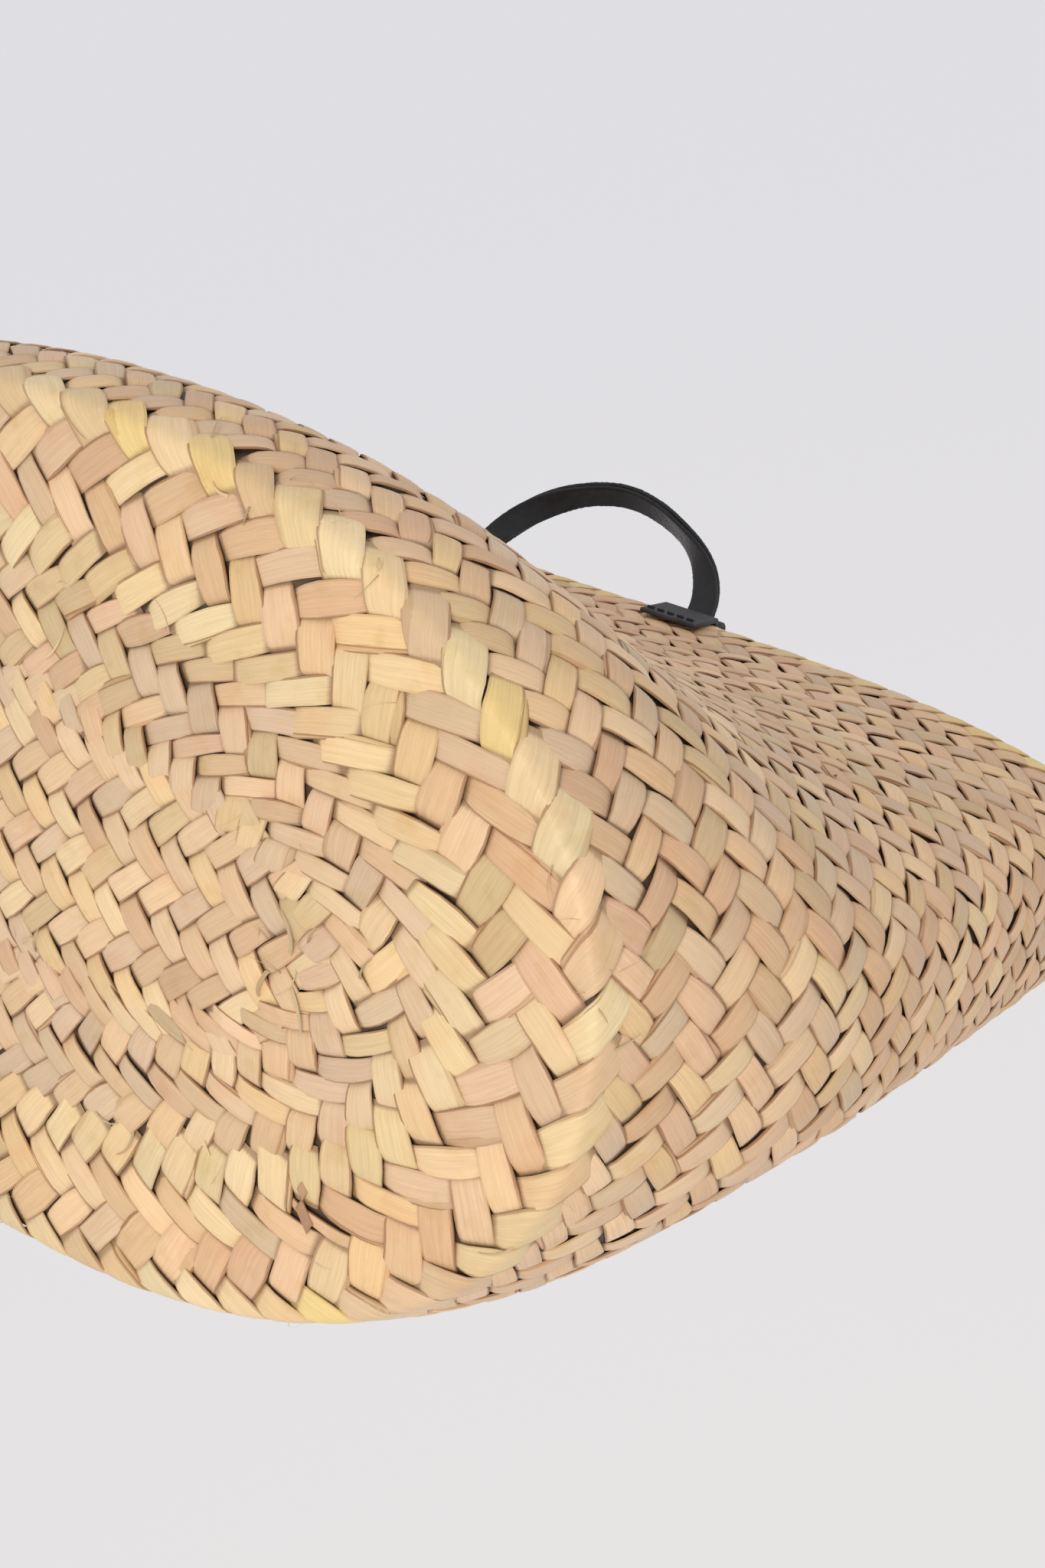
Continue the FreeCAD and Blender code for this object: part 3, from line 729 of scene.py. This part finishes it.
def straight_floats(weave, half_x, half_y, z, side):
    """Straight herringbone filling an oval, at a height, facing down (-1) or up (+1)."""
    sheet = FlatSheet(z, side)
    bank, wrap = 100, 90
    strands = tone_table(2 * bank, LEAF_TONES, (1, 1, 1))
    columns = int(half_x / ROW) + 1
    for row in range(-4, 5):
        lean = slope(row)
        column = np.arange(-columns, columns + 1)
        x0 = column + (0.25 if lean > 0 else 0.75)
        reach_x, reach_y = np.abs(x0 * ROW) / half_x, abs(row * ROW) / half_y
        inside = reach_x ** BASE_SQUARENESS + reach_y ** BASE_SQUARENESS <= 1.0
        column, x0 = column[inside], x0[inside] + noise(inside.sum(), 0.05)
        n = len(x0)
        if not n:
            continue
        y0 = row + noise(n, 0.035)
        strand = (column - lean * row) % wrap + (bank if lean < 0 else 0)
        shade = strands[strand] * (1.0 + noise((n, 1), 0.07))
        colour = np.column_stack([np.clip(shade, 0.02, 0.95), RANDOM.random(n)])
        wide, long = 1.03 * (1.0 + noise(n, 0.10)), 1.0 + noise(n, 0.05)
        float_tiles(weave, sheet, 1.0 / ROW, x0, y0, lean, -side, lambda y: y * ROW, colour,
                    wide, long, 0.0)
    # Dark disc under the straight floats: painted shade in the gaps between them.
    loop = base_loop(MIDDLE_INSET - 2.0, z - side * BASE_BACKING_DEPTH)
    middle = loop * np.array([0.0, 0.0, 1.0])
    rings = [loop * np.array([s, s, 0.0]) + middle for s in np.linspace(0.02, 1.0, 8)]
    grid = np.stack(rings, axis=0)
    grid = np.concatenate([grid, grid[:, :1]], axis=1)[None]
    if side < 0:
        grid = grid[:, ::-1]
    weave.add_grid(grid, np.full(grid.shape[:3] + (2,), 0.5), PAINTED_SHADE_TONE)


def rim_piece():
    """Strands folded over the rim's edge, sloping, on top of the last rows."""
    weave = Weave()
    top = WALL_LENGTH + 1.1
    span = 10.5

    def rim_level(row):
        return top + span * row

    tones = np.concatenate([YELLOW_TONES, LEAF_TONES[[0, 6]]])
    float_rows(weave, OUTSIDE, [0], WALL_FLOATS, rim_level, lambda r: 1, 1, tones=tones, lift=0.75,
               length=1.55, fill=0.98, swing=0.55, doubled=0.0, dense=True)
    low = WALL_LENGTH - RIM_FOLD_WIDTH - 1.0
    shade_backing(weave, OUTSIDE, low, WALL_LENGTH + 14.0, RIM_BACKING_DEPTH, 14, -1)
    finish_piece(weave.make("folded_rim", FOLD), "palm_fold", "rim_fold")


def curled_ends():
    """Two broken strand ends that curl flat over themselves beside the gap in the outer base braid."""
    weave = Weave()
    steps = np.linspace(0.0, 1.0, 25)
    offsets = np.array([-1.0, -0.5, 0.0, 0.5, 1.0])
    for across, level, turns, width, tone in ((2.6, -29.5, 1.3, 3.4, (0.42, 0.235, 0.125)),
                                              (-3.2, -33.5, 0.9, 1.6, (0.50, 0.30, 0.16))):
        angle = steps * turns * 2 * math.pi
        shrink = 1.0 - 0.45 * steps
        along = (across + 2.7 * np.cos(angle) * shrink)[:, None] + 0.25 * width * offsets
        lift = (0.75 + 0.75 * np.sin(angle) * shrink)[:, None] + 0.0 * offsets
        rise = level + width * offsets[None, :] * (1.0 - 0.3 * steps[:, None]) + 0.5 * along
        points = OUTSIDE.place((GAP[1] + 0.75) / BASE_FLOATS + along / ROUND_LENGTH, rise, lift)
        uv = np.empty(points.shape[:2] + (2,))
        uv[..., 0] = 0.2 + 0.6 * steps[:, None]
        uv[..., 1] = 0.5 + 0.5 * offsets[None, :]
        weave.add_grid(points[None], uv[None], np.array([tone + (0.5,)]))
    piece = weave.make("curled_strand_ends", LEAF)
    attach(piece, "basket")


def loose_fibres():
    """Frayed hairs and strand ends that stand off the weave.

    spots: sheet, side, share of the way round, level and size of each; some are bunched near the
    base's +X tip, and a few just below it on the crease."""
    weave = Weave()
    steps = np.linspace(0.0, 1.0, 9)
    spots = []
    for index in range(150):
        sheet, side = (OUTSIDE, 1) if index % 3 else (INSIDE, -1)
        level = RANDOM.choice([RANDOM.uniform(-80, 262), RANDOM.uniform(-8, 12),
                               RANDOM.uniform(-90, -45)])
        spots.append((sheet, side, RANDOM.random(), level, 1.0))
    spots += [(OUTSIDE, 1, RANDOM.uniform(-0.02, 0.02) % 1.0, RANDOM.uniform(-99, -84), 1.5)
              for _ in range(9)]
    spots += [(OUTSIDE, 1, RANDOM.uniform(0.965, 0.995), RANDOM.uniform(-3, 5), 1.0)
              for _ in range(5)]
    for sheet, side, around, level, size in spots:
        length = size * RANDOM.uniform(4.0, 13.0)
        width = size * RANDOM.choice([0.16, 0.22, 0.35, 0.9])
        heading = RANDOM.uniform(0, 2 * math.pi)
        curl = RANDOM.uniform(-1.2, 1.2)
        angle = heading + curl * steps
        run = length / (len(steps) - 1)
        along = np.cumsum(np.cos(angle)) * run
        up = np.cumsum(np.sin(angle)) * run
        lift = 0.3 + 2.0 * size * np.sin(steps * RANDOM.uniform(1.6, 3.0)) * RANDOM.uniform(0.4, 1.0)
        half = 0.5 * width * (1.0 - 0.7 * steps)
        offsets = np.array([-1.0, 0.0, 1.0])
        round_by = along[:, None] - np.sin(angle)[:, None] * half[:, None] * offsets
        rise_by = up[:, None] + np.cos(angle)[:, None] * half[:, None] * offsets
        scale = max(300.0, ROUND_LENGTH + 6.3 * min(level, 0.0))
        points = sheet.place(around + round_by / scale, level + rise_by, lift[:, None] + 0.0 * rise_by)
        uv = np.empty(points.shape[:2] + (2,))
        uv[..., 0] = 0.2 + 0.5 * steps[:, None]
        uv[..., 1] = 0.5 + 0.2 * offsets[None, :]
        tone = CREAM_TONES[RANDOM.integers(0, 4)] * RANDOM.uniform(0.6, 1.05)
        weave.add_grid(points[None], uv[None], np.append(tone, RANDOM.random())[None])
    piece = weave.make("loose_fibres", LEAF)
    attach(piece, "basket")


wall_pieces()
heel_piece()
base_pieces()
rim_piece()
loose_fibres()
curled_ends()

# ---------------------------------------------------------------- twine, straps, tabs, cords

for name, thing in frame["nodes"].items():
    if "twine" in name:
        chosen = TWINE
    elif name.startswith("tab_stitches"):
        chosen = THREAD
    elif name.startswith("hinge_cord"):
        chosen = CORD
    else:
        continue
    for material_slot in thing.material_slots:
        material_slot.material = chosen


def softened(node_name, piece_name, body, material, voxel, passes):
    """Rounded leather copy of a CAD node: fine remesh, then smoothed edges."""
    source = frame["nodes"][node_name]
    piece = bpy.data.objects.new(piece_name, source.data.copy())
    bpy.context.collection.objects.link(piece)
    piece.data.materials.clear()
    piece.data.materials.append(material)
    remesh = piece.modifiers.new("even", "REMESH")
    remesh.mode = "VOXEL"
    remesh.voxel_size = voxel * MM
    smooth = piece.modifiers.new("soft", "CORRECTIVE_SMOOTH")
    smooth.iterations = passes
    smooth.use_only_smooth = True
    deps = bpy.context.evaluated_depsgraph_get()
    mesh = bpy.data.meshes.new_from_object(piece.evaluated_get(deps))
    piece.modifiers.clear()
    piece.data = mesh
    mesh.shade_smooth()
    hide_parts(node_name)
    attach(piece, body)


for side in ("front", "back"):
    handle = side + "_handle"
    softened("strap_outer_" + side, "leather_strap_" + side, handle, LEATHER, 0.45, 4)
    softened("strap_lining_" + side, "leather_lining_" + side, handle, LEATHER, 0.45, 4)
    for foot in ("left", "right"):
        tab = side + "_" + foot
        softened("tab_" + tab, "leather_tab_" + tab, "basket", TAB_LEATHER, 0.4, 4)

# ---------------------------------------------------------------- stage, light, camera

RIGHT = Vector((0.8171193, -0.1735897, 0.5497115))
DOWN = Vector((0.3185238, 0.9307540, -0.1795536))
AHEAD = Vector((-0.4804775, 0.3218130, 0.8158295))
EYE = Vector((378.2275, -218.0460, -383.0124)) * MM
LENS = 47.07
FLOOR_Z = -0.0016


def camera():
    data = bpy.data.cameras.new("camera")
    data.lens = LENS
    data.sensor_width = 36.0
    data.sensor_fit = "AUTO"
    data.clip_start = 0.02
    data.clip_end = 30.0
    made = bpy.data.objects.new("camera", data)
    bpy.context.collection.objects.link(made)
    matrix = Matrix.Identity(4)
    for column, axis in enumerate((RIGHT, -DOWN, -AHEAD)):
        for line in range(3):
            matrix[line][column] = axis[line]
    matrix.translation = EYE
    made.matrix_world = matrix
    bpy.context.scene.camera = made


def stage_material(name, colour):
    """Pale matte surface with faint unevenness, clear where it is seen from behind."""
    material, tree, shader = new_material(name)
    place = tree.nodes.new("ShaderNodeTexCoord").outputs["Object"]
    soft = noise_node(tree, place, 2.0, 2.0)
    shade = blend_colour(tree, "MIX", soft, colour, tuple(c * 0.97 for c in colour))
    join(tree, shade, shader.inputs["Base Color"])
    shader.inputs["Roughness"].default_value = 0.9
    shader.inputs["Specular IOR Level"].default_value = 0.1
    geometry = tree.nodes.new("ShaderNodeNewGeometry")
    clear = tree.nodes.new("ShaderNodeBsdfTransparent")
    mixed = tree.nodes.new("ShaderNodeMixShader")
    out = tree.nodes["Material Output"]
    join(tree, geometry.outputs["Backfacing"], mixed.inputs[0])
    join(tree, shader.outputs[0], mixed.inputs[1])
    join(tree, clear.outputs[0], mixed.inputs[2])
    join(tree, mixed.outputs[0], out.inputs["Surface"])
    return material


def floor():
    """Pale round floor that shows from above only, and lets light from below reach the base.

    The photograph's camera and the key lamp are below it, looking up at the base."""
    turn = np.linspace(0.0, 2 * math.pi, 97)[:-1]
    rings = np.array([0.5, 1.5, 5.0, 25.0])
    verts = [(0.0, 0.0, FLOOR_Z)]
    verts += [(r * math.cos(t), r * math.sin(t), FLOOR_Z) for r in rings for t in turn]
    n = len(turn)
    faces = [(0, 1 + k, 1 + (k + 1) % n) for k in range(n)]
    for r in range(len(rings) - 1):
        for k in range(n):
            k1 = (k + 1) % n
            faces.append((1 + r * n + k, 1 + (r + 1) * n + k, 1 + (r + 1) * n + k1, 1 + r * n + k1))
    mesh = bpy.data.meshes.new("floor")
    mesh.from_pydata(verts, [], faces)
    mesh.materials.append(stage_material("floor_pale", (0.94, 0.94, 0.95)))
    made = bpy.data.objects.new("floor", mesh)
    bpy.context.collection.objects.link(made)
    made.visible_shadow = False
    made.visible_diffuse = False
    made.visible_glossy = False
    made.visible_transmission = False


def world():
    """Even pale studio surround, a little cooler to one side and pinker below."""
    made = bpy.data.worlds.new("studio")
    bpy.context.scene.world = made
    made.use_nodes = True
    tree = made.node_tree
    sky = tree.nodes["Background"]
    way = tree.nodes.new("ShaderNodeTexCoord").outputs["Generated"]
    dot = tree.nodes.new("ShaderNodeVectorMath")
    dot.operation = "DOT_PRODUCT"
    dot.inputs[1].default_value = (0.10, 0.90, 0.43)
    join(tree, way, dot.inputs[0])
    colour = blend_colour(tree, "MIX", ramp(tree, dot.outputs["Value"], 0.3, 0.95),
                          (0.745, 0.735, 0.765), (0.80, 0.775, 0.775))
    join(tree, colour, sky.inputs["Color"])
    view = bpy.context.scene.view_settings
    view.view_transform = "Standard"
    view.look = "None"
    view.exposure = 0.0
    view.gamma = 1.0


def lamp(name, place, target, size, power, colour):
    data = bpy.data.lights.new(name, "AREA")
    data.shape = "DISK"
    data.size = size
    data.energy = power
    data.color = colour
    made = bpy.data.objects.new(name, data)
    bpy.context.collection.objects.link(made)
    made.location = place
    made.rotation_euler = (Vector(target) - Vector(place)).to_track_quat("-Z", "Y").to_euler()


camera()
floor()
world()
MIDDLE = Vector((0.08, -0.02, 0.08))
lamp("key", (0.38, -0.05, -0.88), MIDDLE, 0.35, 3.8, (1.0, 0.96, 0.90))
lamp("side", (1.0, -0.75, 0.45), (0.1, 0, 0.1), 0.6, 0.6, (1.0, 0.98, 0.95))
lamp("top", (-0.9, 0.5, 1.4), (0, 0, 0.12), 1.0, 8.0, (1.0, 0.98, 0.95))
